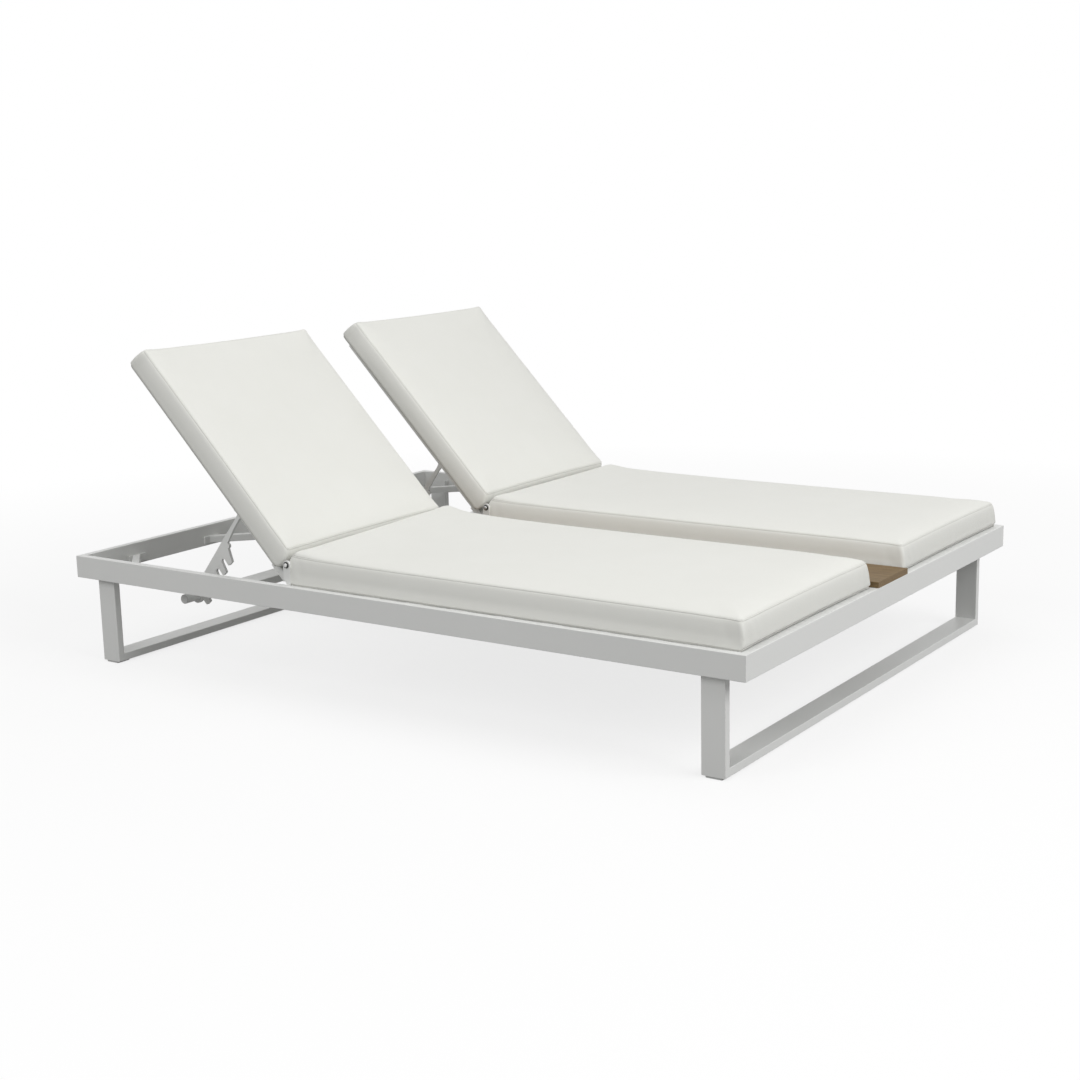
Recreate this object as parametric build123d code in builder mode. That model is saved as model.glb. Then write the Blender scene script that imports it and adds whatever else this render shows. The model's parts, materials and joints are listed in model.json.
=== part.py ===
from build123d import *
import os
from math import cos, radians, sin

os.makedirs("parts", exist_ok=True)

# Double chaise lounger, millimetres. +X runs from the head end to the foot end, +Y to the far lounger,
# +Z up. The origin is on the floor, under the middle of the frame.

# Welded frame
frame_length = 2050.0
frame_width = 1550.0
frame_top = 295.0
rail_height = 60.0
rail_thickness = 20.0
tube_wall = 2.0
tube_corner = 1.5
inner_rail_spacing = 180.0

# Sled legs
glide_height = 5.0
glide_side = 44.0
glide_corner = 4.5
glide_chamfer = 1.0
leg_width = 60.0
leg_thickness = 20.0
leg_end_inset = 59.0
leg_top = 272.0

# Centre board
board_width = 178.0
board_thickness = 15.0
board_edge = 2.0

# Supports between the rails
crossbar_x = -450.0
crossbar_width = 60.0
crossbar_height = 20.0
crossbar_gap = 0.5
brace_side = 20.0
brace_leg = 180.0
brace_top = 262.0
brace_flange_length = 60.0
brace_flange_thickness = 5.0

# Seat slats
seat_slat_count = 10
seat_slat_width = 60.0
seat_slat_height = 10.0
seat_slat_wall = 1.5
seat_slat_drop = 3.0
seat_slat_first_x = -220.0
seat_slat_last_x = 970.0

# Back hinge
hinge_x = -273.7
hinge_z = 345.4
recline = 46.0
hinge_bolt_radius = 3.0
running_clearance = 0.08
ear_thickness = 5.0
fixed_ear_width = 22.0
fixed_ear_depth = 95.0
fixed_ear_slant = (36.0, 58.0)
fixed_ear_root = (4.0, 23.0)
fixed_ear_shoulder = 57.0
back_ear_width = 20.0
back_ear_foot = 45.0
back_ear_relief = 0.5
hinge_washer_thickness = 2.0
sliding_gap = 0.1

# Back frame, measured from the hinge when the back lies flat
back_tube_side = 20.0
back_foot_x = -2.0
back_head_x = -681.3
back_top_z = -47.0
back_rail_clearance = 37.0
back_slat_width = 50.0
back_slat_thickness = 4.0
back_slat_rounding = 1.0
back_slat_pitch = 76.0
back_slats_head = 5
back_slats_foot = 2
back_slat_head_x = -600.0
back_slat_foot_x = -160.0

# Comb support, measured down its spine from its pivot and out towards the foot end
comb_pivot_x = -219.3
comb_spine_angle = 52.9
comb_thickness = 8.0
comb_head_radius = 9.5
comb_back_edge = ((0, -9.5), (40, -5), (128, -8), (238, -10.3))
comb_arm_edge = ((115, 8.7), (78, 5.5), (40, 5), (0, 9.5))
comb_washer = 2.0
comb_knob = (124, 12.7)
comb_knob_radius = 7.0
tooth_count = 5
tooth_pitch = 35.9
tooth_corner = (149.1, 49.0)
tooth_tip = (167.3, 45.2)
tooth_rounding = 2.8
slot_root = (168.4, 25.7)
slot_root_radius = 7.0
slot_mouth = (177.4, 50.2)
slot_mouth_half = 10.0
rest_slot = 2
comb_notch = (308, 27.2)
comb_tube_s = 314.9
comb_tube_e = 4.5
comb_tube_radius = 12.5
comb_lobe_radius = 20.0
comb_tube_end_gap = 11.0
tube_cap_thickness = 3.0
tube_cap_rounding = 2.1
tube_cap_depth = 10.0
tube_cap_clearance = 0.1

# Stub pins that the combs hook over
pin_radius = 5.0
pin_chamfer = 0.8
pin_tip_gap = 0.5
pin_flange_radius = 8.0
pin_flange_thickness = 3.0

# Fasteners
bolt_head_radius = 5.25
bolt_head_height = 3.3
bolt_head_rounding = 2.0
washer_radius = 8.0
nut_radius = 5.8
nut_height = 6.0
thread_end = 1.5

# Cushions
cushion_clearance = 5.0
cushion_side_height = 72.0
cushion_crown = 8.0
cushion_corner = 26.0
cushion_draw_in = 5.0
cushion_base_height = 10.0
cushion_base_inset = 12.0
cushion_edge_height = 7.0
cushion_edge_inset = 7.0
cushion_shoulder_inset = 60.0
cushion_shoulder_share = 0.6
cushion_middle_inset = 170.0
seat_cushion_head_x = -263.3
seat_cushion_foot_x = 1012.0
back_cushion_length = 689.0
back_cushion_hinge_gap = 20.0

# Derived places
half_length = frame_length / 2
half_width = frame_width / 2
rail_middle_z = frame_top - rail_height / 2
leg_x = half_length - leg_end_inset - leg_width / 2
leg_y = half_width - rail_thickness - leg_thickness / 2
bay_outer = half_width - rail_thickness
bay_inner = inner_rail_spacing / 2 + rail_thickness / 2
bay_middle = (bay_outer + bay_inner) / 2
seat_top = frame_top - seat_slat_drop
tooth_shifts = [i * tooth_pitch for i in range(tooth_count)]
pin_offset = slot_root_radius - pin_radius
back_outer = bay_outer - back_rail_clearance
back_inner = bay_inner + back_rail_clearance
back_middle_z = back_top_z - back_tube_side / 2
comb_outer_face = back_outer - back_tube_side - comb_washer
spacer_length = back_rail_clearance - 2 * ear_thickness

bay_mirror = Plane(origin=(0, bay_middle, 0), z_dir=(0, 1, 0))
back_plane = Plane(
    origin=(hinge_x, 0, hinge_z),
    x_dir=(cos(radians(recline)), 0, -sin(radians(recline))),
    z_dir=(sin(radians(recline)), 0, cos(radians(recline))),
)
comb_pivot = back_plane.from_local_coords((comb_pivot_x, 0, back_middle_z))
spine = Vector(-cos(radians(comb_spine_angle)), 0, -sin(radians(comb_spine_angle)))
outward = Vector(sin(radians(comb_spine_angle)), 0, -cos(radians(comb_spine_angle)))
rest_slot_s = slot_root[0] + rest_slot * tooth_pitch
pin_centre = comb_pivot + spine * (rest_slot_s - pin_offset) + outward * slot_root[1]
comb_tube_centre = comb_pivot + spine * comb_tube_s + outward * comb_tube_e


# Shared steps

def save(name, piece):
    piece.label = name
    export_step(piece, f"parts/{name}.step")


def mirrored(piece, about):
    with BuildPart() as copy:
        mirror(piece, about=about)
    return copy.part


def save_both_bays(name, piece):
    save(f"far_{name}", piece)
    save(f"near_{name}", mirrored(piece, Plane.XZ))


def save_both_sides(name, piece):
    save_both_bays(f"outer_{name}", piece)
    save_both_bays(f"inner_{name}", mirrored(piece, bay_mirror))


def save_both_ends(name, piece, save_piece):
    save_piece(f"foot_{name}", piece)
    save_piece(f"head_{name}", mirrored(piece, Plane.YZ))


def back_point(x, y, z):
    return back_plane.from_local_coords((x, y, z))


def back_direction(x, y, z):
    return back_plane.from_local_coords((x, y, z)) - back_plane.origin


def box_tube(start, width, height, length, cuts=()):
    # Hollow rectangular tube from its start plane, trimmed to the side each cut plane faces
    with BuildPart() as tube:
        with BuildSketch(start):
            RectangleRounded(width, height, tube_corner)
            Rectangle(width - 2 * tube_wall, height - 2 * tube_wall, mode=Mode.SUBTRACT)
        extrude(amount=length)
        for cut in cuts:
            split(bisect_by=cut, keep=Keep.TOP)
    return tube.part


# Welded outer frame: two side rails and two end rails, mitred at the corners

def side_rail():
    start = Plane(origin=(-half_length, half_width - rail_thickness / 2, rail_middle_z),
                  x_dir=(0, 1, 0), z_dir=(1, 0, 0))
    cuts = [
        Plane(origin=(half_length, half_width, 0), z_dir=(-1, 1, 0)),
        Plane(origin=(-half_length, half_width, 0), z_dir=(1, 1, 0)),
    ]
    return box_tube(start, rail_thickness, rail_height, frame_length, cuts)


def foot_rail():
    start = Plane(origin=(half_length - rail_thickness / 2, -half_width, rail_middle_z),
                  x_dir=(1, 0, 0), z_dir=(0, 1, 0))
    cuts = [
        Plane(origin=(half_length, half_width, 0), z_dir=(1, -1, 0)),
        Plane(origin=(half_length, -half_width, 0), z_dir=(1, 1, 0)),
    ]
    return box_tube(start, rail_thickness, rail_height, frame_width, cuts)


def inner_rail():
    start = Plane(origin=(rail_thickness - half_length, inner_rail_spacing / 2, rail_middle_z),
                  x_dir=(0, 1, 0), z_dir=(1, 0, 0))
    return box_tube(start, rail_thickness, rail_height, frame_length - 2 * rail_thickness)


save_both_bays("side_rail", side_rail())
save_both_bays("inner_rail", inner_rail())
save_both_ends("rail", foot_rail(), save)


# Sled legs: posts up the inner face of the side rails, a flat runner between them, plastic glides

def leg_post():
    corner_y = leg_y + leg_thickness / 2
    start = Plane(origin=(leg_x, leg_y, glide_height), z_dir=(0, 0, 1))
    cuts = [Plane(origin=(leg_x, corner_y, glide_height), z_dir=(0, 1, 1))]
    return box_tube(start, leg_width, leg_thickness, leg_top - glide_height, cuts)


def runner():
    corner_y = leg_y + leg_thickness / 2
    start = Plane(origin=(leg_x, -corner_y, glide_height + leg_thickness / 2),
                  x_dir=(1, 0, 0), z_dir=(0, 1, 0))
    cuts = [
        Plane(origin=(leg_x, corner_y, glide_height), z_dir=(0, -1, -1)),
        Plane(origin=(leg_x, -corner_y, glide_height), z_dir=(0, 1, -1)),
    ]
    return box_tube(start, leg_width, leg_thickness, 2 * corner_y, cuts)


def glide():
    with BuildPart() as pad:
        with BuildSketch(Plane.XY):
            with Locations((leg_x, leg_y + leg_thickness / 2 - glide_side / 2 - tube_wall)):
                RectangleRounded(glide_side, glide_side, glide_corner)
        extrude(amount=glide_height)
        chamfer(pad.faces().sort_by(Axis.Z)[0].edges(), glide_chamfer)
    return pad.part


save_both_ends("post", leg_post(), save_both_bays)
save_both_ends("glide", glide(), save_both_bays)
save_both_ends("runner", runner(), save)


# Wooden board that covers the gap between the two loungers

def centre_board():
    with BuildPart() as board:
        with BuildSketch(Plane.XY.offset(frame_top)):
            Rectangle(frame_length, board_width)
        extrude(amount=board_thickness)
        fillet(board.edges().filter_by(Axis.X), board_edge)
    return board.part


save("centre_board", centre_board())


# Supports between the rails of each bay

def crossbar():
    # Its top stands just under the back frame when the back lies flat
    middle_z = hinge_z + back_top_z - back_tube_side - crossbar_gap - crossbar_height / 2
    start = Plane(origin=(crossbar_x, bay_inner, middle_z), x_dir=(1, 0, 0), z_dir=(0, 1, 0))
    return box_tube(start, crossbar_width, crossbar_height, bay_outer - bay_inner)


def corner_brace():
    # Square tube across the head corner, with a flange against the head rail
    rail_face_x = rail_thickness - half_length
    middle_z = brace_top - brace_side / 2
    flange_x = rail_face_x + brace_flange_thickness
    overrun = 2 * brace_side
    run = brace_leg * 2 ** 0.5
    step = overrun / 2 ** 0.5
    start = Plane(origin=(rail_face_x - step, bay_outer - brace_leg - step, middle_z), z_dir=(1, 1, 0))
    bar = box_tube(start, brace_side, brace_side, run + 2 * overrun, [
        Plane(origin=(flange_x, 0, 0), z_dir=(1, 0, 0)),
        Plane(origin=(0, bay_outer, 0), z_dir=(0, -1, 0)),
    ])
    with BuildPart() as brace:
        add(bar)
        with BuildSketch(Plane(origin=(rail_face_x, bay_outer - brace_leg, middle_z),
                               x_dir=(0, 1, 0), z_dir=(1, 0, 0))):
            RectangleRounded(brace_flange_length, brace_side, tube_corner)
        extrude(amount=brace_flange_thickness)
    return brace.part


def seat_slats():
    middle_x = (seat_slat_first_x + seat_slat_last_x) / 2
    pitch = (seat_slat_last_x - seat_slat_first_x) / (seat_slat_count - 1)
    middle_z = seat_top - seat_slat_height / 2
    with BuildPart() as slats:
        with BuildSketch(Plane(origin=(middle_x, bay_inner, middle_z), x_dir=(1, 0, 0), z_dir=(0, 1, 0))):
            with GridLocations(pitch, 0, seat_slat_count, 1):
                RectangleRounded(seat_slat_width, seat_slat_height, tube_corner)
                Rectangle(seat_slat_width - 2 * seat_slat_wall, seat_slat_height - 2 * seat_slat_wall,
                          mode=Mode.SUBTRACT)
        extrude(amount=bay_outer - bay_inner)
    return slats.part


save_both_bays("crossbar", crossbar())
save_both_sides("corner_brace", corner_brace())
save_both_bays("seat_slats", seat_slats())


# Hinge ears on the rails: the root is welded under the seat cushion and the plate leans back to the hinge

def fixed_ear():
    half = fixed_ear_width / 2
    slant_top, slant_bottom = fixed_ear_slant
    root_head, root_foot = fixed_ear_root
    with BuildPart() as ear:
        with BuildSketch(Plane(origin=(hinge_x, bay_outer, hinge_z), x_dir=(1, 0, 0), z_dir=(0, -1, 0))):
            with BuildLine():
                Polyline(
                    (-half, 0),
                    (-half, -slant_top),
                    (root_head, -slant_bottom),
                    (root_head, -fixed_ear_depth),
                    (root_foot, -fixed_ear_depth),
                    (root_foot, -fixed_ear_shoulder),
                    (half, -fixed_ear_shoulder),
                    (half, 0),
                    close=True,
                )
            make_face()
            Circle(half)
            Circle(hinge_bolt_radius + running_clearance, mode=Mode.SUBTRACT)
        extrude(amount=ear_thickness)
    return ear.part


save_both_sides("hinge_ear", fixed_ear())


# Stub pins on the rails, which the combs hook over

def stub_pin():
    tip = bay_outer - comb_outer_face - pin_tip_gap
    with BuildPart() as pin:
        with BuildSketch(Plane(origin=(pin_centre.X, bay_outer, pin_centre.Z), z_dir=(0, -1, 0))):
            Circle(pin_flange_radius)
        extrude(amount=pin_flange_thickness)
        with BuildSketch(Plane(origin=(pin_centre.X, bay_outer, pin_centre.Z), z_dir=(0, -1, 0))):
            Circle(pin_radius)
        extrude(amount=tip)
        chamfer(pin.faces().sort_by(Axis.Y)[0].edges(), pin_chamfer)
    return pin.part


save_both_sides("stub_pin", stub_pin())


# Back frame: four mitred tubes, hinge ears welded to the side tubes, thin slats under the cushion

def back_ear_outline():
    half = back_ear_width / 2
    under_cushion = -back_top_z + back_ear_relief
    depth = back_tube_side - back_top_z
    Circle(half)
    Rectangle(back_ear_width, depth, align=(Align.CENTER, Align.MAX))
    with Locations((half, -under_cushion)):
        Rectangle(back_ear_foot + half, depth - under_cushion, align=(Align.MAX, Align.MAX))
    Circle(hinge_bolt_radius, mode=Mode.SUBTRACT)


def back_side_tube():
    middle_y = back_outer - back_tube_side / 2
    start = Plane(origin=back_point(back_head_x, middle_y, back_middle_z),
                  x_dir=(0, 1, 0), z_dir=back_direction(1, 0, 0))
    bar = box_tube(start, back_tube_side, back_tube_side, back_foot_x - back_head_x, [
        Plane(origin=back_point(back_foot_x, back_outer, 0), z_dir=back_direction(-1, 1, 0)),
        Plane(origin=back_point(back_head_x, back_outer, 0), z_dir=back_direction(1, 1, 0)),
    ])
    ear_plane = Plane(origin=back_point(0, back_outer + ear_thickness, 0),
                      x_dir=back_direction(1, 0, 0), z_dir=(0, -1, 0))
    bolt_plane = Plane(origin=back_point(comb_pivot_x, back_outer, back_middle_z), z_dir=(0, -1, 0))
    with BuildPart() as side:
        add(bar)
        with BuildSketch(ear_plane):
            back_ear_outline()
        extrude(amount=ear_thickness)
        with BuildSketch(bolt_plane):
            Circle(hinge_bolt_radius)
        extrude(amount=back_tube_side, mode=Mode.SUBTRACT)
    return side.part


def back_end_tube(end_x, inward):
    # The outer edge of the tube lies at end_x and its mitres open towards the inward side
    middle_x = end_x + inward * back_tube_side / 2
    start = Plane(origin=back_point(middle_x, back_inner, back_middle_z),
                  x_dir=back_direction(1, 0, 0), z_dir=(0, 1, 0))
    return box_tube(start, back_tube_side, back_tube_side, back_outer - back_inner, [
        Plane(origin=back_point(end_x, back_outer, 0), z_dir=back_direction(-inward, -1, 0)),
        Plane(origin=back_point(end_x, back_inner, 0), z_dir=back_direction(-inward, 1, 0)),
    ])


def back_slats():
    # A gap is left at the comb pivots, where the combs fold up beside the side tubes
    centres = [back_slat_head_x + i * back_slat_pitch for i in range(back_slats_head)]
    centres += [back_slat_foot_x + i * back_slat_pitch for i in range(back_slats_foot)]
    first_y = back_inner + back_tube_side
    middle_z = back_top_z - back_slat_thickness / 2
    with BuildPart() as slats:
        with BuildSketch(Plane(origin=back_point(0, first_y, middle_z),
                               x_dir=back_direction(1, 0, 0), z_dir=(0, 1, 0))):
            with Locations(*[(x, 0) for x in centres]):
                RectangleRounded(back_slat_width, back_slat_thickness, back_slat_rounding)
        extrude(amount=back_outer - back_tube_side - first_y)
    return slats.part


save_both_sides("back_side_tube", back_side_tube())
save_both_bays("back_head_tube", back_end_tube(back_head_x, 1))
save_both_bays("back_foot_tube", back_end_tube(back_foot_x, -1))
save_both_bays("back_slats", back_slats())


# Bolts of the back: hinge bolts with dark washers, spacers and nuts, and the shoulder bolts of the combs

def bolt(head_plane, shank_length):
    # The head stands out of the plane and the shank runs back from it
    with BuildPart() as screw:
        with BuildSketch(head_plane):
            Circle(bolt_head_radius)
        extrude(amount=bolt_head_height)
        head_axis = Axis(head_plane.origin, head_plane.z_dir)
        fillet(screw.faces().sort_by(head_axis)[-1].edges(), bolt_head_rounding)
        with BuildSketch(head_plane):
            Circle(hinge_bolt_radius)
        extrude(amount=-shank_length)
    return screw.part


def washer(face_plane, thickness):
    with BuildPart() as ring:
        with BuildSketch(face_plane):
            Circle(washer_radius)
            Circle(hinge_bolt_radius + running_clearance, mode=Mode.SUBTRACT)
        extrude(amount=thickness)
    return ring.part


def nut(face_plane):
    with BuildPart() as hexagon:
        with BuildSketch(face_plane):
            RegularPolygon(nut_radius, 6)
            Circle(hinge_bolt_radius + running_clearance, mode=Mode.SUBTRACT)
        extrude(amount=nut_height)
    return hexagon.part


def hinge_washers():
    with BuildPart() as washers:
        add(washer(Plane(origin=(hinge_x, bay_outer + sliding_gap, hinge_z), z_dir=(0, 1, 0)),
                   hinge_washer_thickness))
        mirror(about=bay_mirror)
    return washers.part


def hinge_bolts():
    # Hinge: head outside the dark washer, spacer between the ears, nut inside the back's ear
    head_y = bay_outer + sliding_gap + hinge_washer_thickness
    hinge_head = Plane(origin=(hinge_x, head_y, hinge_z), z_dir=(0, 1, 0))
    hinge_shank = head_y - back_outer + nut_height + thread_end
    between_ears = Plane(origin=(hinge_x, back_outer + ear_thickness, hinge_z), z_dir=(0, 1, 0))
    inside_ear = Plane(origin=(hinge_x, back_outer, hinge_z), z_dir=(0, -1, 0))
    # Comb: head inside the comb, washer between comb and side tube, nut outside the side tube
    comb_inner_face = comb_outer_face - comb_thickness
    comb_head = Plane(origin=(comb_pivot.X, comb_inner_face - sliding_gap, comb_pivot.Z), z_dir=(0, -1, 0))
    comb_shank = back_outer - comb_inner_face + sliding_gap + nut_height + thread_end
    beside_tube = Plane(origin=(comb_pivot.X, back_outer - back_tube_side, comb_pivot.Z), z_dir=(0, -1, 0))
    outside_tube = Plane(origin=(comb_pivot.X, back_outer, comb_pivot.Z), z_dir=(0, 1, 0))
    with BuildPart() as bolts:
        add(bolt(hinge_head, hinge_shank))
        add(bolt(comb_head, comb_shank))
        add(washer(between_ears, spacer_length - sliding_gap))
        add(washer(beside_tube, comb_washer - sliding_gap))
        add(nut(inside_ear))
        add(nut(outside_tube))
        mirror(about=bay_mirror)
    return bolts.part


save_both_bays("hinge_washers", hinge_washers())
save_both_bays("hinge_bolts", hinge_bolts())


# Comb support: notched plates that hook over the stub pins, joined by a capped cross tube

def comb_outline():
    saw_edge = []
    for shift in tooth_shifts:
        saw_edge += [(tooth_corner[0] + shift, tooth_corner[1]), (tooth_tip[0] + shift, tooth_tip[1])]
    tube_centre = (comb_tube_s, comb_tube_e)
    under_tube = (comb_tube_s, comb_tube_e - comb_lobe_radius)
    Polygon(*comb_back_edge, under_tube, tube_centre, comb_notch, *reversed(saw_edge), comb_knob,
            *comb_arm_edge, align=None)
    Circle(comb_head_radius)
    with Locations(comb_knob):
        Circle(comb_knob_radius)
    with Locations(tube_centre):
        Circle(comb_lobe_radius)


def comb_slot(shift):
    # Round at its root and wider at its mouth
    root = Vector(slot_root[0] + shift, slot_root[1])
    mouth = Vector(slot_mouth[0] + shift, slot_mouth[1])
    root_half = (mouth - root).normalized().rotate(Axis.Z, -90) * slot_root_radius
    mouth_half = Vector(slot_mouth_half, 0)
    Polygon(root - root_half, root + root_half, mouth + mouth_half, mouth - mouth_half,
            align=None, mode=Mode.SUBTRACT)
    with Locations(root):
        Circle(slot_root_radius, mode=Mode.SUBTRACT)


def comb_plate():
    face = Plane(origin=(comb_pivot.X, comb_outer_face, comb_pivot.Z), x_dir=spine, z_dir=(0, -1, 0))
    with BuildPart() as comb:
        with BuildSketch(face) as outline:
            comb_outline()
            for shift in tooth_shifts[:-1]:
                comb_slot(shift)
            teeth = outline.vertices().filter_by(lambda v: v.Y > tooth_tip[1] - tooth_rounding)
            fillet(teeth, tooth_rounding)
            Circle(hinge_bolt_radius + running_clearance, mode=Mode.SUBTRACT)
            with Locations((comb_tube_s, comb_tube_e)):
                Circle(comb_tube_radius, mode=Mode.SUBTRACT)
        extrude(amount=comb_thickness)
    return comb.part


def comb_tube():
    start_y = bay_inner + comb_tube_end_gap + tube_cap_thickness
    end_y = bay_outer - comb_tube_end_gap - tube_cap_thickness
    with BuildPart() as tube:
        with BuildSketch(Plane(origin=(comb_tube_centre.X, start_y, comb_tube_centre.Z), z_dir=(0, 1, 0))):
            Circle(comb_tube_radius)
            Circle(comb_tube_radius - tube_wall, mode=Mode.SUBTRACT)
        extrude(amount=end_y - start_y)
    return tube.part


def tube_caps():
    end_y = bay_outer - comb_tube_end_gap - tube_cap_thickness
    face = Plane(origin=(comb_tube_centre.X, end_y, comb_tube_centre.Z), z_dir=(0, 1, 0))
    with BuildPart() as caps:
        with BuildSketch(face):
            Circle(comb_tube_radius)
        extrude(amount=tube_cap_thickness)
        fillet(caps.faces().sort_by(Axis.Y)[-1].edges(), tube_cap_rounding)
        with BuildSketch(face):
            Circle(comb_tube_radius - tube_wall - tube_cap_clearance)
        extrude(amount=-tube_cap_depth)
        mirror(about=bay_mirror)
    return caps.part


save_both_sides("comb", comb_plate())
save_both_bays("comb_tube", comb_tube())
save_both_bays("comb_tube_caps", tube_caps())


# Cushions: crowned on top, sides drawn in a little between rounded corners

def cushion_section(plane, length, width, inset):
    half_l = length / 2 - inset
    half_w = width / 2 - inset
    corner = cushion_corner
    shift = corner * (1 - 0.5 ** 0.5)
    with BuildSketch(plane) as section:
        with BuildLine():
            for turn_l, turn_w in ((1, -1), (1, 1), (-1, 1), (-1, -1)):
                start_first = turn_l == turn_w
                on_side = (turn_l * half_l, turn_w * (half_w - corner))
                on_end = (turn_l * (half_l - corner), turn_w * half_w)
                middle = (turn_l * (half_l - shift), turn_w * (half_w - shift))
                if start_first:
                    ThreePointArc(on_side, middle, on_end)
                else:
                    ThreePointArc(on_end, middle, on_side)
            for turn in (1, -1):
                ThreePointArc((turn * half_l, -turn * (half_w - corner)),
                              (turn * (half_l - cushion_draw_in), 0),
                              (turn * half_l, turn * (half_w - corner)))
                ThreePointArc((turn * (half_l - corner), turn * half_w),
                              (0, turn * (half_w - cushion_draw_in)),
                              (-turn * (half_l - corner), turn * half_w))
        make_face()
    return section.sketch


def cushion(base, length):
    # Heights above the base with how far each outline stands in from the widest one
    width = bay_outer - bay_inner - 2 * cushion_clearance
    levels = (
        (0, cushion_base_inset),
        (cushion_base_height, 0),
        (cushion_side_height - cushion_edge_height, 0),
        (cushion_side_height, cushion_edge_inset),
        (cushion_side_height + cushion_crown * cushion_shoulder_share, cushion_shoulder_inset),
        (cushion_side_height + cushion_crown, cushion_middle_inset),
    )
    sections = [cushion_section(base.offset(height), length, width, inset) for height, inset in levels]
    with BuildPart() as pad:
        loft(sections, ruled=True)
    return pad.part


seat_base = Plane(origin=((seat_cushion_head_x + seat_cushion_foot_x) / 2, bay_middle, seat_top))
back_base = Plane(
    origin=back_point(-back_cushion_hinge_gap - back_cushion_length / 2, bay_middle, back_top_z),
    x_dir=back_direction(1, 0, 0),
    z_dir=back_direction(0, 0, 1),
)
save_both_bays("seat_cushion", cushion(seat_base, seat_cushion_foot_x - seat_cushion_head_x))
save_both_bays("back_cushion", cushion(back_base, back_cushion_length))
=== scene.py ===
import json
from math import cos, pi, radians, sin

import bpy
import numpy as np
from mathutils import Matrix, Vector

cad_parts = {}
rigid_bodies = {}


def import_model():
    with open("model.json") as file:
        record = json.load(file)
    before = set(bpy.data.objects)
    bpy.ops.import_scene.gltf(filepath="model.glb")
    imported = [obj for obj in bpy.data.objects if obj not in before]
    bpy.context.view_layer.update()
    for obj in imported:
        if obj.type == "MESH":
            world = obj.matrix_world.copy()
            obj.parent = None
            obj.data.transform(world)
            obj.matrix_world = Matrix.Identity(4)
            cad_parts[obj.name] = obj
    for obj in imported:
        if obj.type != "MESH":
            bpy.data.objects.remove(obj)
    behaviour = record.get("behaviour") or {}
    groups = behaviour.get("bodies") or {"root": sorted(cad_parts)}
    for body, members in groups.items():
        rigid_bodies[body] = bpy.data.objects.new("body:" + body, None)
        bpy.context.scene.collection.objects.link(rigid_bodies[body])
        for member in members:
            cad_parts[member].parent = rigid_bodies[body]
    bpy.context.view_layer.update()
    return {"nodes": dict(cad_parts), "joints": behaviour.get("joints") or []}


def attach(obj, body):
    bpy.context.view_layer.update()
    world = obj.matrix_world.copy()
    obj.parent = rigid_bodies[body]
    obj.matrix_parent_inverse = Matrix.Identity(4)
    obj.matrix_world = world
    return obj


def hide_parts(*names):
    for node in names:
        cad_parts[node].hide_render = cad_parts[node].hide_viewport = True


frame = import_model()
nodes = frame["nodes"]


# Welded frame, tilting backs and notched combs: all the white metal of the lounger.
# The real ones are aluminium tube and plate, welded, ground flush at the mitres and powder coated
# off-white. The coat drifts slowly in tone and has a fine satin grit.

white_tone = (0.80, 0.805, 0.79)
paler_share = 1.015
deeper_share = 0.965
coat_drift_scale = 5.0
coat_bump_distance = 0.0002
smoother_by = 0.05
rougher_by = 0.06
noise_span = (0.3, 0.7)


def feed(tree, socket, value):
    # Links a node's output to a socket, or sets a plain value on it
    if isinstance(value, bpy.types.NodeSocket):
        tree.links.new(value, socket)
    else:
        socket.default_value = value


def new_group(name, inputs, outputs):
    group = bpy.data.node_groups.new(name, "ShaderNodeTree")
    for socket_name, kind, default in inputs:
        socket = group.interface.new_socket(socket_name, in_out="INPUT", socket_type=kind)
        if default is not None:
            socket.default_value = default
    for socket_name, kind in outputs:
        group.interface.new_socket(socket_name, in_out="OUTPUT", socket_type=kind)
    return group, group.nodes.new("NodeGroupInput"), group.nodes.new("NodeGroupOutput")


def add_noise(tree, vector, scale, detail=3.0, roughness=0.5):
    node = tree.nodes.new("ShaderNodeTexNoise")
    for name, value in (("Vector", vector), ("Scale", scale), ("Detail", detail),
                        ("Roughness", roughness)):
        feed(tree, node.inputs[name], value)
    return node.outputs["Fac"]


def add_range(tree, value, from_low, from_high, to_low, to_high):
    node = tree.nodes.new("ShaderNodeMapRange")
    for name, entry in (("Value", value), ("From Min", from_low), ("From Max", from_high),
                        ("To Min", to_low), ("To Max", to_high)):
        feed(tree, node.inputs[name], entry)
    return node.outputs["Result"]


def add_mix(tree, share, first, second):
    # Colour mix: of this node's sockets, 0 is the share and 6 and 7 are the colours
    node = tree.nodes.new("ShaderNodeMix")
    node.data_type = "RGBA"
    for place, value in ((0, share), (6, first), (7, second)):
        feed(tree, node.inputs[place], value)
    return node.outputs[2]


def make_texture_group():
    # Speckled coat: slow drift of tone and fine grit, from one position vector
    group, entry, leave = new_group(
        "coat texture",
        [("Position", "NodeSocketVector", None), ("Grit Scale", "NodeSocketFloat", 900.0)],
        [("Drift", "NodeSocketFloat"), ("Grit", "NodeSocketFloat")])
    position = entry.outputs["Position"]
    drift = add_noise(group, position, coat_drift_scale, detail=4.0)
    grit = add_noise(group, position, entry.outputs["Grit Scale"], detail=2.0)
    group.links.new(drift, leave.inputs["Drift"])
    group.links.new(grit, leave.inputs["Grit"])
    return group


coat_texture = make_texture_group()


def new_material(name):
    material = bpy.data.materials.new(name)
    material.use_nodes = True
    tree = material.node_tree
    shader = tree.nodes["Principled BSDF"]
    position = tree.nodes.new("ShaderNodeTexCoord").outputs["Object"]
    return material, tree, shader, position


def place_group(tree, group, position, **values):
    node = tree.nodes.new("ShaderNodeGroup")
    node.node_tree = group
    tree.links.new(position, node.inputs["Position"])
    for name, value in values.items():
        feed(tree, node.inputs[name.replace("_", " ")], value)
    return node


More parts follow.
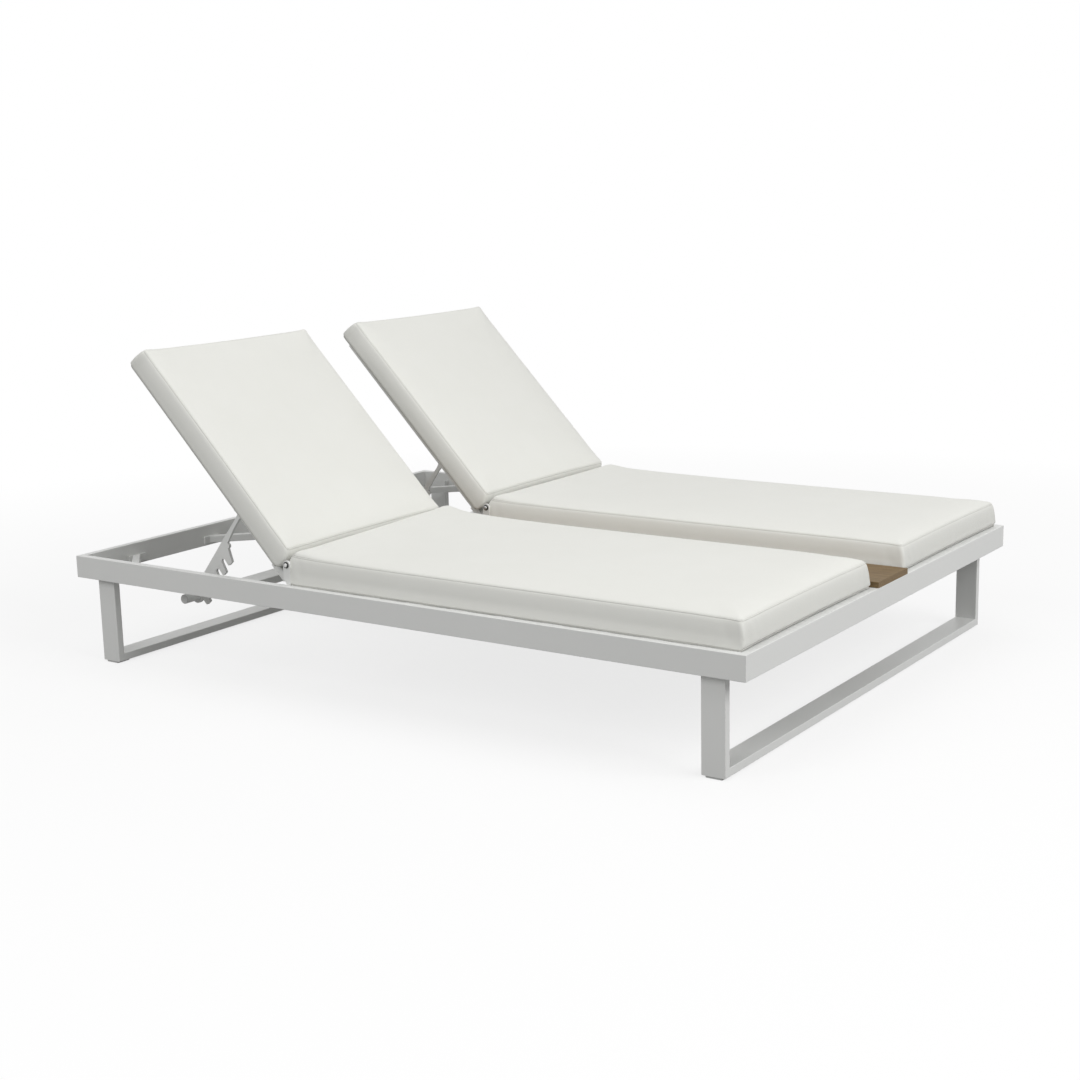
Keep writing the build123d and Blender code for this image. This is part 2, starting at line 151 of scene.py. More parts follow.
def add_bump(tree, shader, height, strength, distance):
    node = tree.nodes.new("ShaderNodeBump")
    node.inputs["Strength"].default_value = strength
    node.inputs["Distance"].default_value = distance
    tree.links.new(height, node.inputs["Height"])
    tree.links.new(node.outputs["Normal"], shader.inputs["Normal"])


def make_coat(name, tone, roughness, grit_scale, grit_height):
    material, tree, shader, position = new_material(name)
    texture = place_group(tree, coat_texture, position, Grit_Scale=grit_scale)
    drift = texture.outputs["Drift"]
    paler = [c * paler_share for c in tone]
    deeper = [c * deeper_share for c in tone]
    tree.links.new(add_mix(tree, drift, (*deeper, 1), (*paler, 1)), shader.inputs["Base Color"])
    tree.links.new(add_range(tree, drift, *noise_span, roughness - smoother_by, roughness + rougher_by),
                   shader.inputs["Roughness"])
    add_bump(tree, shader, texture.outputs["Grit"], grit_height, coat_bump_distance)
    return material


def finish_node(node, material):
    piece = nodes[node]
    piece.data.materials.clear()
    piece.data.materials.append(material)


white_coat = make_coat("white powder coat", white_tone, roughness=0.42, grit_scale=1100.0,
                       grit_height=0.25)
uncoated = ("cushion", "board", "bolts", "washers", "stub_pin", "glide", "caps")
for node in nodes:
    if not any(word in node for word in uncoated):
        finish_node(node, white_coat)


# Small mouldings: glides and tube caps in pale grey polyethylene, hinge washers in black nylon.
# The glides are pushed into the underside of the runners, the caps into the ends of the comb tubes,
# and the washers lie under the heads of the hinge bolts.

grey_tone = (0.58, 0.585, 0.575)
black_tone = (0.035, 0.035, 0.035)

grey_plastic = make_coat("pale grey moulding", grey_tone, roughness=0.5, grit_scale=500.0,
                         grit_height=0.15)
black_plastic = make_coat("black moulding", black_tone, roughness=0.45, grit_scale=500.0,
                          grit_height=0.15)
for node in nodes:
    if "glide" in node or "caps" in node:
        finish_node(node, grey_plastic)
    if "washers" in node:
        finish_node(node, black_plastic)


# Bolts with their spacers, washers and nuts, and the stub pins: stainless steel, turned and brushed.
# The bolts join the backs to the hinge ears and the combs to the backs, and each stub pin stands
# where a comb hooks over it.

steel_dark = (0.42, 0.42, 0.42, 1)
steel_light = (0.62, 0.62, 0.61, 1)
brushing_stretch = (1.0, 0.04, 1.0)
brushing_scale = 2500.0
brushing_span = (0.2, 0.8)
steel_roughness = (0.22, 0.42)


def make_steel():
    material, tree, shader, position = new_material("brushed stainless")
    stretch = tree.nodes.new("ShaderNodeMapping")
    stretch.inputs["Scale"].default_value = brushing_stretch
    tree.links.new(position, stretch.inputs["Vector"])
    lines = add_noise(tree, stretch.outputs["Vector"], brushing_scale)
    tree.links.new(add_mix(tree, lines, steel_dark, steel_light), shader.inputs["Base Color"])
    tree.links.new(add_range(tree, lines, *brushing_span, *steel_roughness), shader.inputs["Roughness"])
    shader.inputs["Metallic"].default_value = 1.0
    add_bump(tree, shader, lines, strength=0.2, distance=0.0001)
    return material


steel = make_steel()
for node in nodes:
    if "bolts" in node or "stub_pin" in node:
        finish_node(node, steel)


# Centre board: one long plank between the beds, brown wood-look composite with a brushed face.
# It lies over the two inner rails and over the end rails, and its long edges are eased.

board_dark = (0.150, 0.094, 0.035, 1)
board_light = (0.240, 0.156, 0.063, 1)
pore_tone = (0.110, 0.068, 0.026, 1)
grain_stretch = (0.035, 1.0, 1.0)
grain_scale = 420.0
streak_scale = 38.0
pore_fade = (0.36, 0.6)
board_roughness = (0.68, 0.5)


def make_wood():
    material, tree, shader, position = new_material("brown brushed board")
    along = tree.nodes.new("ShaderNodeMapping")
    along.inputs["Scale"].default_value = grain_stretch
    tree.links.new(position, along.inputs["Vector"])
    grain = add_noise(tree, along.outputs["Vector"], grain_scale, detail=6.0, roughness=0.65)
    streaks = add_noise(tree, along.outputs["Vector"], streak_scale)
    body = add_mix(tree, streaks, board_dark, board_light)
    pores = add_range(tree, grain, *pore_fade, 0.0, 1.0)
    tree.links.new(add_mix(tree, pores, pore_tone, body), shader.inputs["Base Color"])
    tree.links.new(add_range(tree, grain, *noise_span, *board_roughness), shader.inputs["Roughness"])
    add_bump(tree, shader, grain, strength=0.35, distance=0.0006)
    return material


finish_node("centre_board", make_wood())


# Cushions: two seats and two backs, foam in sewn covers of smooth off-white outdoor cloth.
# Each cover has a flat base, an upright border and a crowned top panel with a welt round its edge.
# The seats lie loose on their slats; the backs lie on the slats of the back frames.

# Cover before it is filled, a little smaller than the finished cushion
grid_pitch = 0.011
corner_radius = 0.013
shoulder_height = 0.011
start_inset = 0.004
seam_width = 0.0015
level_gap = 1e-4
tiny = 1e-9


def deselect():
    if bpy.context.object and bpy.context.object.mode != "OBJECT":
        bpy.ops.object.mode_set(mode="OBJECT")
    bpy.ops.object.select_all(action="DESELECT")


def activate(piece):
    deselect()
    piece.select_set(True)
    bpy.context.view_layer.objects.active = piece


def subdivide_along(piece, axis, cuts):
    # Cuts every edge that runs along one axis, which adds straight rows all round the box
    bpy.ops.mesh.select_all(action="DESELECT")
    bpy.ops.object.mode_set(mode="OBJECT")
    mesh = piece.data
    for edge in mesh.edges:
        a, b = (mesh.vertices[i].co for i in edge.vertices)
        edge.select = abs((b - a).normalized()[axis]) > 0.9
    bpy.ops.object.mode_set(mode="EDIT")
    bpy.ops.mesh.subdivide(number_cuts=cuts)


def corner_reach(points, size):
    # How far a point stands past the centres of the corner arcs, and where that is in both directions
    dx = np.abs(points[:, 0]) - (size.x / 2 - corner_radius)
    dy = np.abs(points[:, 1]) - (size.y / 2 - corner_radius)
    return dx, dy, (dx > 0) & (dy > 0)


def round_corners(points, size):
    # Turns the square corners of the plan into arcs and keeps the rows that lead to them
    dx, dy, inside = corner_reach(points, size)
    share = np.where(inside, np.maximum(dx, dy) / np.maximum(np.hypot(dx, dy), tiny), 1.0)
    for axis, gap in ((0, dx), (1, dy)):
        moved = (size[axis] / 2 - corner_radius + gap * share) * np.sign(points[:, axis])
        points[:, axis] = np.where(inside, moved, points[:, axis])
    return points


def plan_gap(points, size):
    # Distance of each point from the outline of the plan
    dx, dy, in_corner = corner_reach(points, size)
    straight = corner_radius - np.maximum(dx, dy)
    return np.where(in_corner, corner_radius - np.hypot(dx, dy), straight)


def plan_normal(flat, size):
    # Direction in which the outline of the plan faces, nearest to each point
    dx, dy, in_corner = corner_reach(flat, size)
    square = np.stack([dx > dy, dx <= dy], 1).astype(float)
    turned = np.stack([dx, dy], 1) / np.maximum(np.hypot(dx, dy), tiny)[:, None]
    return np.where(in_corner[:, None], turned, square) * np.sign(flat[:, :2])


def read_points(piece):
    points = np.zeros(len(piece.data.vertices) * 3)
    piece.data.vertices.foreach_get("co", points)
    return points.reshape(-1, 3)


def write_points(piece, points):
    piece.data.vertices.foreach_set("co", points.ravel())
    piece.data.update()


def set_attribute(piece, name, values, kind="FLOAT", field="value"):
    piece.data.attributes.new(name, kind, "POINT").data.foreach_set(field, values.ravel())


def get_attribute(piece, name, width=1, field="value"):
    values = np.zeros(len(piece.data.vertices) * width)
    piece.data.attributes[name].data.foreach_get(field, values)
    return values.reshape(-1, width) if width > 1 else values


def read_flat_places(piece):
    return get_attribute(piece, "cloth_place", 3, "vector")


def block_cushion(name, size):
    # Box of even quads with rounded corners, standing on its base at the origin
    deselect()
    bpy.ops.mesh.primitive_cube_add(size=1, location=(0, 0, size.z / 2), scale=size)
    piece = bpy.context.object
    piece.name = name
    bpy.ops.object.transform_apply(location=True, rotation=True, scale=True)
    bpy.ops.object.mode_set(mode="EDIT")
    bpy.ops.mesh.select_mode(type="EDGE")
    for axis in range(3):
        subdivide_along(piece, axis, max(1, round(size[axis] / grid_pitch) - 1))
    bpy.ops.object.mode_set(mode="OBJECT")
    write_points(piece, round_corners(read_points(piece), size))
    return piece


def mark_cloth(piece, size):
    # Keeps where each point lay on the flat cover, and how far it is from the outline and the seams
    points = read_points(piece)
    gap = np.maximum(plan_gap(points, size), 0)
    height = np.minimum(points[:, 2], size.z - points[:, 2])
    on_panel = height < level_gap
    seam = (gap < seam_width) & on_panel
    set_attribute(piece, "cloth_place", points, "FLOAT_VECTOR", "vector")
    set_attribute(piece, "seam_gap", np.where(on_panel, gap, height))
    set_attribute(piece, "seam", seam.astype(float))
    on_base = (points[:, 2] < level_gap) & (gap > grid_pitch / 2)
    for name, members in (("base", on_base), ("sewn", seam)):
        group = piece.vertex_groups.new(name=name)
        group.add([int(i) for i in np.flatnonzero(members)], 1.0, "REPLACE")


# Filling: how far the foam lets each panel swell
top_swell = 0.0045
crown_swell = 0.0075
border_swell = 0.005
simulated_frames = 20
cloth_pressure = 4.0
seam_shrink = 0.006


def swell_limits(points, size):
    # The foam lets the border swell a little and the top panel more towards its middle
    u = (2 * points[:, 0] / size.x) ** 2
    v = (2 * points[:, 1] / size.y) ** 2
    on_top = points[:, 2] > size.z - level_gap
    return np.where(on_top, top_swell + crown_swell * (1 - u) * (1 - v), border_swell)[:, None]


def inflate(piece, size):
    # The filled cover swells against its seams; the foam lets it move only so far
    before = read_points(piece)
    activate(piece)
    bpy.ops.object.modifier_add(type="CLOTH")
    cloth = piece.modifiers[-1].settings
    cloth.quality = 5
    cloth.mass = 0.3
    cloth.tension_stiffness = 12
    cloth.compression_stiffness = 12
    cloth.shear_stiffness = 4
    cloth.bending_stiffness = 1.5
    cloth.air_damping = 2
    cloth.use_pressure = True
    cloth.uniform_pressure_force = cloth_pressure
    cloth.effector_weights.gravity = 0
    cloth.vertex_group_mass = "base"
    cloth.vertex_group_shrink = "sewn"
    cloth.shrink_min = 0.0
    cloth.shrink_max = seam_shrink
    for step in range(1, simulated_frames + 1):
        bpy.context.scene.frame_set(step)
    bpy.ops.object.modifier_apply(modifier=piece.modifiers[-1].name)
    bpy.context.scene.frame_set(1)
    move = read_points(piece) - before
    length = np.maximum(np.linalg.norm(move, axis=1, keepdims=True), tiny)
    limit = swell_limits(before, size)
    write_points(piece, before + move * limit * (1 - np.exp(-length / limit)) / length)


# Radius of the lower edge
base_round = 0.004
foot_base_round = 0.016
back_base_round = 0.011


def roll_base(points, flat, size, side_round, foot_round):
    # Rolls the lower edge round, in its own arc at the foot end where it lies over the end tube
    gap = plan_gap(flat, size)
    normal = plan_normal(flat, size)
    radius = side_round + (foot_round - side_round) * np.maximum(normal[:, 0], 0) ** 2
    on_base = flat[:, 2] < level_gap
    run = np.where(on_base, gap, flat[:, 2])
    turn = pi / 4 - np.where(on_base, -run, run) / radius
    reach = radius * pi / 4
    slack = (radius - reach) * np.clip(1 - (run - reach) / (1.5 * radius), 0, 1)
    on_arc = run < reach
    inward = np.where(on_arc, radius * (1 - np.cos(turn)) - np.where(on_base, gap, 0),
                      np.where(on_base, slack, 0))
    upward = np.where(on_arc, radius * (1 - np.sin(turn)) - np.where(on_base, 0, flat[:, 2]),
                      np.where(on_base, 0, slack))
    points[:, :2] -= normal * inward[:, None]
    points[:, 2] += upward


# Round shoulder: it starts at a share of the height, and a seat's head end takes a share of its pull
shoulder_pull = 0.008
shoulder_start = 0.35
shoulder_reach = 0.03
head_shoulder_share = 0.3


def roll_shoulder(points, flat, size, on_head):
    # Leans the upper part of the border inwards, so that it meets the top panel in a round shoulder
    rise = np.clip(flat[:, 2] / size.z, 0, 1)
    lean = shoulder_pull * np.clip((rise - shoulder_start) / (1 - shoulder_start), 0, 1) ** 2
    for axis in (0, 1):
        inward = lean * np.exp(-(size[axis] / 2 - np.abs(flat[:, axis])) / shoulder_reach)
        if axis == 0:
            inward = np.where(flat[:, 0] < 0, on_head * inward, inward)
        points[:, axis] -= inward * np.sign(flat[:, axis])


# Pleats at the corners
pleat_height = 0.0006
fan_folds = 9
fan_reach = 0.055
fan_start = 0.02
fold_pitch = 0.037
fold_slant = 0.35
fold_reach = 0.06
right_phase = 1.7
far_phase = 2.9


def lay_pleats(points, flat, size):
    # Small folds that fan over the top panel from its corners and run down the border beside them
    across, beside = (size[axis] / 2 - np.abs(flat[:, axis]) for axis in (0, 1))
    reach = np.hypot(across, beside)
    right, far = flat[:, 0] > 0, flat[:, 1] > 0
    phase = right_phase * right + far_phase * far
    on_top = flat[:, 2] > size.z - level_gap
    fan = np.sin(fan_folds * np.arctan2(beside, across) + phase)
    fan *= np.exp(-(reach / fan_reach) ** 2) * np.clip(reach / fan_start, 0, 1)
    along = flat[:, 0] - flat[:, 1] * np.where(right == far, 1, -1)
    slanted = along + fold_slant * flat[:, 2]
    folds = np.sin(2 * pi * slanted / fold_pitch + phase) * np.exp(-(reach / fold_reach) ** 2)
    folds *= np.clip(flat[:, 2] / base_round, 0, 1)
    points[:, 2] += np.where(on_top, pleat_height * fan, 0)
    outward = np.where(on_top, 0, pleat_height * folds)
    points[:, :2] += plan_normal(flat, size) * outward[:, None]


# How far the ends and sides pull in between the corners
end_pull = 0.004
side_pull = 0.0012


def draw_in(points, flat, size, low, high):
    # Draws the sides in between the corners and fits the cover to the height and width of its place
    u, v = (2 * flat[:, axis] / size[axis] for axis in (0, 1))
    points[:, 0] *= 1 - end_pull * (1 - v ** 2) / (size.x / 2)
    points[:, 1] *= 1 - side_pull * (1 - u ** 2) / (size.y / 2)
    for axis in (0, 1):
        points[:, axis] *= (high[axis] - low[axis]) / 2 / np.abs(points[:, axis]).max()
    points[:, 2] = np.maximum(points[:, 2], 0)
    points[:, 2] *= (high.z - low.z) / points[:, 2].max()


# Crown and lifted edges of a seat; the near seat stands higher beside the board and at its head end
seat_crown = 0.011
crown_reach = 0.038
inner_lift = {"near": 0.009, "far": 0.004}
outer_lift = 0.0025
lift_power = 8
head_lift = 0.030
head_reach = 0.085
head_lift_share = 0.6
inner_head_share = {"near": 0.6, "far": 0.0}
border_lift_share = 0.45
edge_dip = 0.55
edge_reach = 0.012


def lift_seat(points, flat, size, outer):
    # Crowns a seat and lifts it where the back presses on its head end
    bay = "near" if outer < 0 else "far"
    rise = np.clip(flat[:, 2] / size.z, 0, 1)
    u, v = (2 * flat[:, axis] / size[axis] for axis in (0, 1))
    gap = np.maximum(plan_gap(flat, size), 0)
    from_head = flat[:, 0] + size.x / 2
    inner = (1 - outer * v) / 2
    on_top = flat[:, 2] > size.z - level_gap
    lift = np.where(on_top, seat_crown * (1 - np.exp(-gap / crown_reach)), 0)
    lift += (inner_lift[bay] * inner ** 2 + outer_lift * (1 - inner)) * (1 - u ** lift_power)
    bulge = head_lift * np.exp(-from_head / head_reach)
    bulge *= head_lift_share + inner_head_share[bay] * inner
    lift += bulge * np.where(on_top, 1 - edge_dip * np.exp(-gap / edge_reach), border_lift_share)
    points[:, 2] += lift * rise


# Bulge of a seat's head end, with a lobe at each corner, and swell of its sides
head_proud = 0.010
head_power = 40
head_base_share = 0.3
head_belly = 2.8
lobe_proud = 0.008
lobe_width = 0.025
lobe_fade = 0.01
side_proud = 0.0038
skirt_proud = 0.005
skirt_top = 0.4


def spread_seat(points, flat, size, half):
    # Pushes the head end of a seat against the back, most at its corners, and its sides outwards
    rise = np.clip(flat[:, 2] / size.z, 0, 1)
    at_head = np.clip(-2 * flat[:, 0] / size.x, 0, 1) ** head_power
    lobe = np.clip((np.abs(points[:, 1]) - (half - lobe_width)) / lobe_fade, 0, 1)
    proud = head_proud + lobe_proud * lobe
    points[:, 0] -= proud * at_head * (head_base_share + head_belly * rise * (1 - rise))
    skirt = side_proud + skirt_proud * np.clip(1 - rise / skirt_top, 0, 1)
    points[:, 1] *= 1 + skirt / half
    points[:, 1] = np.clip(points[:, 1], -half - side_proud, half + side_proud)


def shape_seat(piece, size, low, high, outer):
    # A seat is wider rounded at the foot end, crowned, and pushed against its back at the head end
    points = read_points(piece)
    flat = read_flat_places(piece)
    roll_base(points, flat, size, base_round, foot_base_round)
    roll_shoulder(points, flat, size, head_shoulder_share)
    lay_pleats(points, flat, size)
    draw_in(points, flat, size, low, high)
    lift_seat(points, flat, size, outer)
    spread_seat(points, flat, size, (high.y - low.y) / 2)
    write_points(piece, points)


# Bulge of a back's foot end
back_foot_proud = 0.007
foot_power = 30


def shape_back(piece, size, low, high):
    # A back has one round all along its lower edge, and its foot end bulges towards the seat
    points = read_points(piece)
    flat = read_flat_places(piece)
    roll_base(points, flat, size, back_base_round, back_base_round)
    roll_shoulder(points, flat, size, 1.0)
    lay_pleats(points, flat, size)
    draw_in(points, flat, size, low, high)
    rise = np.clip(flat[:, 2] / size.z, 0, 1)
    at_foot = np.clip(2 * flat[:, 0] / size.x, 0, 1) ** foot_power
    points[:, 0] += back_foot_proud * at_foot * 4 * rise * (1 - rise)
    write_points(piece, points)


# Welt, on the top seam only
welt_radius = 0.0011
base_seam_height = 0.02
whole_share = 0.99
off_seam = 0.02


def make_welt(piece, name):
    # Ridge of folded cloth along the seam between the border and the top panel of a cover
    activate(piece)
    on_seam = get_attribute(piece, "seam") > whole_share
    on_seam &= read_flat_places(piece)[:, 2] > base_seam_height
    for part in (*piece.data.polygons, *piece.data.vertices):
        part.select = False
    for edge in piece.data.edges:
        edge.select = all(bool(on_seam[i]) for i in edge.vertices)
    bpy.ops.object.mode_set(mode="EDIT")
    bpy.ops.mesh.duplicate()
    bpy.ops.mesh.separate(type="SELECTED")
    bpy.ops.object.mode_set(mode="OBJECT")
    welt = [o for o in bpy.context.selected_objects if o != piece][0]
    welt.name = name
    activate(welt)
    bpy.ops.object.convert(target="CURVE")
    welt.data.bevel_depth = welt_radius
    welt.data.bevel_resolution = 1
    bpy.ops.object.convert(target="MESH")
    set_attribute(welt, "cloth_place", read_points(welt), "FLOAT_VECTOR", "vector")
    set_attribute(welt, "seam_gap", np.full(len(welt.data.vertices), off_seam))
    return welt


def add_math(tree, operation, first, second=None):
    node = tree.nodes.new("ShaderNodeMath")
    node.operation = operation
    feed(tree, node.inputs[0], first)
    if second is not None:
        feed(tree, node.inputs[1], second)
    return node.outputs[0]


# Stitches and crease along a seam: from where to where each fades, and the mottle of the cloth
stitch_gap = 0.006
stitch_pitch = 0.005
stitch_fade = (0.0003, 0.0007)
dash_fade = (-0.5, -0.2)
crease_fade = (0.0008, 0.0035)
mottle_scale = 9.0


def make_cloth_group():
    # Plain weave from the place on the flat cover, with the dashes of the stitches by the seams
    group, entry, leave = new_group(
        "cover cloth",
        [("Position", "NodeSocketVector", None), ("Seam Gap", "NodeSocketFloat", 0.05),
         ("Thread Pitch", "NodeSocketFloat", 0.0009), ("Stitch Gap", "NodeSocketFloat", 0.008)],
        [("Weave", "NodeSocketFloat"), ("Mottle", "NodeSocketFloat"), ("Stitch", "NodeSocketFloat"),
         ("Crease", "NodeSocketFloat")])
    position = entry.outputs["Position"]
    seam_gap = entry.outputs["Seam Gap"]
    parts = group.nodes.new("ShaderNodeSeparateXYZ")
    group.links.new(position, parts.inputs[0])
    threads = 0.0
    for axis in range(3):
        turns = add_math(group, "DIVIDE", parts.outputs[axis], entry.outputs["Thread Pitch"])
        wave = add_math(group, "SINE", add_math(group, "MULTIPLY", turns, pi))
        threads = add_math(group, "ADD", threads, add_math(group, "ABSOLUTE", wave))
    along = add_math(group, "ADD", parts.outputs[0], parts.outputs[1])
    dash = add_math(group, "SINE", add_math(group, "MULTIPLY", along, 2 * pi / stitch_pitch))
    off_line = add_math(group, "SUBTRACT", seam_gap, entry.outputs["Stitch Gap"])
    line = add_range(group, add_math(group, "ABSOLUTE", off_line), *stitch_fade, 1.0, 0.0)
    stitch = add_math(group, "MULTIPLY", line, add_range(group, dash, *dash_fade, 0.0, 1.0))
    for name, value in (("Weave", add_math(group, "MULTIPLY", threads, 1 / 3)),
                        ("Mottle", add_noise(group, position, mottle_scale, detail=5.0)),
                        ("Stitch", stitch),
                        ("Crease", add_range(group, seam_gap, *crease_fade, 1.0, 0.0))):
        group.links.new(value, leave.inputs[name])
    return group


cover_cloth = make_cloth_group()


def read_attribute(tree, name, output):
    node = tree.nodes.new("ShaderNodeAttribute")
    node.attribute_name = name
    return node.outputs[output]


# Colours and surface of the cloth, with painted shade darkening the crease along each seam
cloth_deep = (0.80, 0.80, 0.755, 1)
cloth_pale = (0.84, 0.84, 0.80, 1)
thread_gap_tone = (0.74, 0.745, 0.71, 1)
# Painted shade: a dark tone laid into the cloth along each seam crease; the share below sets both that
# painted shade and how deep the crease sinks in the bump
seam_shade_tone = (0.42, 0.41, 0.38, 1)
crease_depth_and_shade_share = 0.55
cloth_roughness = (0.74, 0.84)
weave_fade = (0.1, 0.6)
weave_height = 0.12
stitch_height = 0.3


def make_cloth_material():
    material, tree, shader, _ = new_material("off-white outdoor cloth")
    place = read_attribute(tree, "cloth_place", "Vector")
    gap = read_attribute(tree, "seam_gap", "Fac")
    cloth = place_group(tree, cover_cloth, place, Seam_Gap=gap, Stitch_Gap=stitch_gap)
    mottle, weave, crease = (cloth.outputs[name] for name in ("Mottle", "Weave", "Crease"))
    body = add_mix(tree, mottle, cloth_deep, cloth_pale)
    threads = add_mix(tree, add_range(tree, weave, *weave_fade, 0.0, 1.0), thread_gap_tone, body)
    # Painted shade along the seams: the crease mask mixes the cloth towards the dark seam shade tone
    shade = add_math(tree, "MULTIPLY", crease, crease_depth_and_shade_share)
    tree.links.new(add_mix(tree, shade, threads, seam_shade_tone), shader.inputs["Base Color"])
    tree.links.new(add_range(tree, mottle, *noise_span, *cloth_roughness), shader.inputs["Roughness"])
    shader.inputs["Sheen Weight"].default_value = 0.15
    shader.inputs["Sheen Roughness"].default_value = 0.5
    raised = add_math(tree, "ADD", add_math(tree, "MULTIPLY", weave, weave_height),
                      add_math(tree, "MULTIPLY", cloth.outputs["Stitch"], stitch_height))
    sunk = add_math(tree, "MULTIPLY", crease, crease_depth_and_shade_share)
    add_bump(tree, shader, add_math(tree, "SUBTRACT", raised, sunk), strength=0.6, distance=0.0012)
    return material


cloth_material = make_cloth_material()


def flat_extent(node, turn, centre):
    # Box of a CAD cushion with its recline turned back to level about the hinge
    points = read_points(nodes[node]) - centre
    x = points[:, 0] * cos(turn) - points[:, 2] * sin(turn)
    z = points[:, 0] * sin(turn) + points[:, 2] * cos(turn)
    level = np.stack([x, points[:, 1], z], 1)
    return Vector(level.min(0)), Vector(level.max(0))


# How far the cushions stand off their slats
slat_gap = 0.0005


def make_cushion(node, turn, centre, body, outer):
    # The value outer is -1 for the near seat, 1 for the far seat and 0 for a back
    low, high = flat_extent(node, turn, np.array(centre))
    size = Vector((high.x - low.x - 2 * start_inset, high.y - low.y - 2 * start_inset,
                   high.z - low.z - shoulder_height))
    piece = block_cushion(node + "_cover", size)
    mark_cloth(piece, size)
    inflate(piece, size)
    activate(piece)
    bpy.ops.object.modifier_add(type="SUBSURF")
    piece.modifiers[-1].levels = 1
    piece.modifiers[-1].render_levels = 1
    bpy.ops.object.modifier_apply(modifier=piece.modifiers[-1].name)
    if outer:
        shape_seat(piece, size, low, high, outer)
    else:
        shape_back(piece, size, low, high)
    middle = (low + high) / 2
    piece.data.transform(
        Matrix.Translation(centre)
        @ Matrix.Rotation(turn, 4, "Y")
        @ Matrix.Translation((middle.x, middle.y, low.z + slat_gap))
    )
    welt = make_welt(piece, node + "_welt")
    for part in (piece, welt):
        part.data.materials.clear()
        part.data.materials.append(cloth_material)
        activate(part)
        bpy.ops.object.shade_smooth()
        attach(part, body)
    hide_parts(node)


hinges = {j["child"]: j for j in frame["joints"] if j["parent"] == "frame"}
for bay, side in (("near", -1), ("far", 1)):
    hinge = hinges[f"{bay}_back"]
    recline = radians(-hinge["range_deg"][0])
    make_cushion(f"{bay}_seat_cushion", 0.0, Vector((0, 0, 0)), "frame", side)
    make_cushion(f"{bay}_back_cushion", recline, Vector(hinge["pos_m"]), f"{bay}_back", 0)


# Studio: a pale floor that runs out to white, an even fill, and wide lamps overhead and on three sides.
# The floor sends little light back to the object, which keeps its undersides as shaded as in the
# photograph.

floor_side = 60
floor_tone = (0.97, 0.97, 0.97, 1)
bounce_tone = (0.24, 0.24, 0.235, 1)
pure_white = (1, 1, 1, 1)
white_from = 1.5
white_at = 3.6
near_white_share = 0.78
fill_strength = 0.36


def add_seen(tree):
    # 1 for rays that show the surface itself, straight, mirrored or through glass
    path = tree.nodes.new("ShaderNodeLightPath")
    indirect = add_math(tree, "MAXIMUM", path.outputs["Is Glossy Ray"],
                        path.outputs["Is Transmission Ray"])
    return add_math(tree, "MAXIMUM", path.outputs["Is Camera Ray"], indirect)


def add_flat_shader(tree, kind, tone):
    node = tree.nodes.new(kind)
    node.inputs["Color"].default_value = tone
    return node.outputs[0]


def mix_shaders(tree, share, first, second):
    node = tree.nodes.new("ShaderNodeMixShader")
    for place, value in enumerate((share, first, second)):
        tree.links.new(value, node.inputs[place])
    return node.outputs[0]


def make_floor():
    deselect()
    bpy.ops.mesh.primitive_plane_add(size=floor_side, location=(0, 0, 0))
    floor = bpy.context.object
    floor.name = "floor"
    material = bpy.data.materials.new("pale floor")
    material.use_nodes = True
    tree = material.node_tree
    tree.nodes.remove(tree.nodes["Principled BSDF"])
    reach = tree.nodes.new("ShaderNodeVectorMath")
    reach.operation = "LENGTH"
    tree.links.new(tree.nodes.new("ShaderNodeTexCoord").outputs["Object"], reach.inputs[0])
    whiteness = add_range(tree, reach.outputs["Value"], white_from, white_at, near_white_share, 1.0)
    shown = mix_shaders(tree, whiteness, add_flat_shader(tree, "ShaderNodeBsdfDiffuse", floor_tone),
                        add_flat_shader(tree, "ShaderNodeEmission", pure_white))
    bounced = add_flat_shader(tree, "ShaderNodeBsdfDiffuse", bounce_tone)
    tree.links.new(mix_shaders(tree, add_seen(tree), bounced, shown),
                   tree.nodes["Material Output"].inputs["Surface"])
    floor.data.materials.append(material)


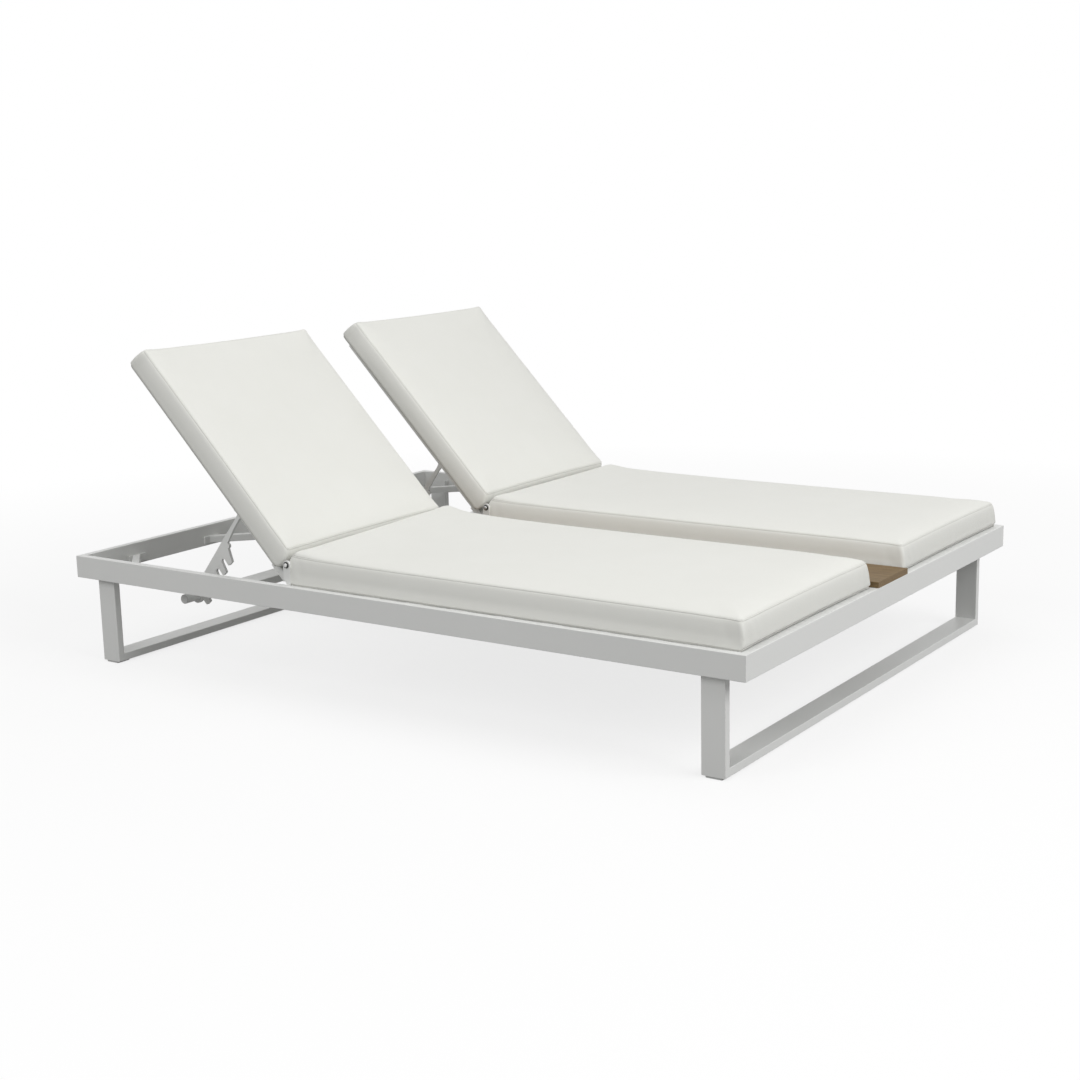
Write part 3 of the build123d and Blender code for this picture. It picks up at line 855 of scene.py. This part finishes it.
def make_world():
    world = bpy.data.worlds.new("studio")
    bpy.context.scene.world = world
    world.use_nodes = True
    tree = world.node_tree
    background = tree.nodes["Background"]
    background.inputs["Color"].default_value = pure_white
    tree.links.new(add_range(tree, add_seen(tree), 0.0, 1.0, fill_strength, 1.0),
                   background.inputs["Strength"])


# Lamps have their places and sizes in metres and their power in watts

def add_lamp(name, place, target, size, power, mirrored=True):
    lamp = bpy.data.lights.new(name, "AREA")
    lamp.shape = "RECTANGLE"
    lamp.size, lamp.size_y = size
    lamp.energy = power
    holder = bpy.data.objects.new(name, lamp)
    bpy.context.scene.collection.objects.link(holder)
    holder.visible_glossy = mirrored
    holder.location = place
    holder.rotation_euler = (Vector(target) - Vector(place)).to_track_quat("-Z", "Y").to_euler()


make_floor()
make_world()
add_lamp("overhead", place=(0.2, 0.2, 4.5), target=(0, 0, 0.2), size=(5.0, 4.0), power=44.0)
add_lamp("near side", place=(-0.5, -5.5, 4.0), target=(0, 0, 0.3), size=(5.0, 3.0), power=116.0)
add_lamp("foot side", place=(6.0, -0.5, 4.0), target=(0, 0, 0.3), size=(4.0, 3.0), power=212.0)
add_lamp("head side", place=(-6.0, 2.5, 0.9), target=(0, 0, 0.4), size=(4.0, 1.6), power=55.0,
         mirrored=False)


# Camera: it stands where the photograph was taken from, found from the straight edges of the frame.
# Its place is in metres, its angles in degrees and its lens in millimetres.

camera_place = (2.6915, -3.9705, 1.3059)
camera_yaw = 34.32
camera_pitch = -11.89
camera_roll = -1.31
camera_lens = 59.07
sensor_width = 36
sight_limit = 200


def make_camera():
    camera = bpy.data.objects.new("camera", bpy.data.cameras.new("camera"))
    bpy.context.scene.collection.objects.link(camera)
    camera.data.sensor_width = sensor_width
    camera.data.lens = camera_lens
    camera.data.clip_end = sight_limit
    camera.matrix_world = (
        Matrix.Translation(camera_place)
        @ Matrix.Rotation(radians(camera_yaw), 4, "Z")
        @ Matrix.Rotation(radians(90 + camera_pitch), 4, "X")
        @ Matrix.Rotation(radians(camera_roll), 4, "Z")
    )
    bpy.context.scene.camera = camera


make_camera()
bpy.context.scene.view_settings.view_transform = "Standard"
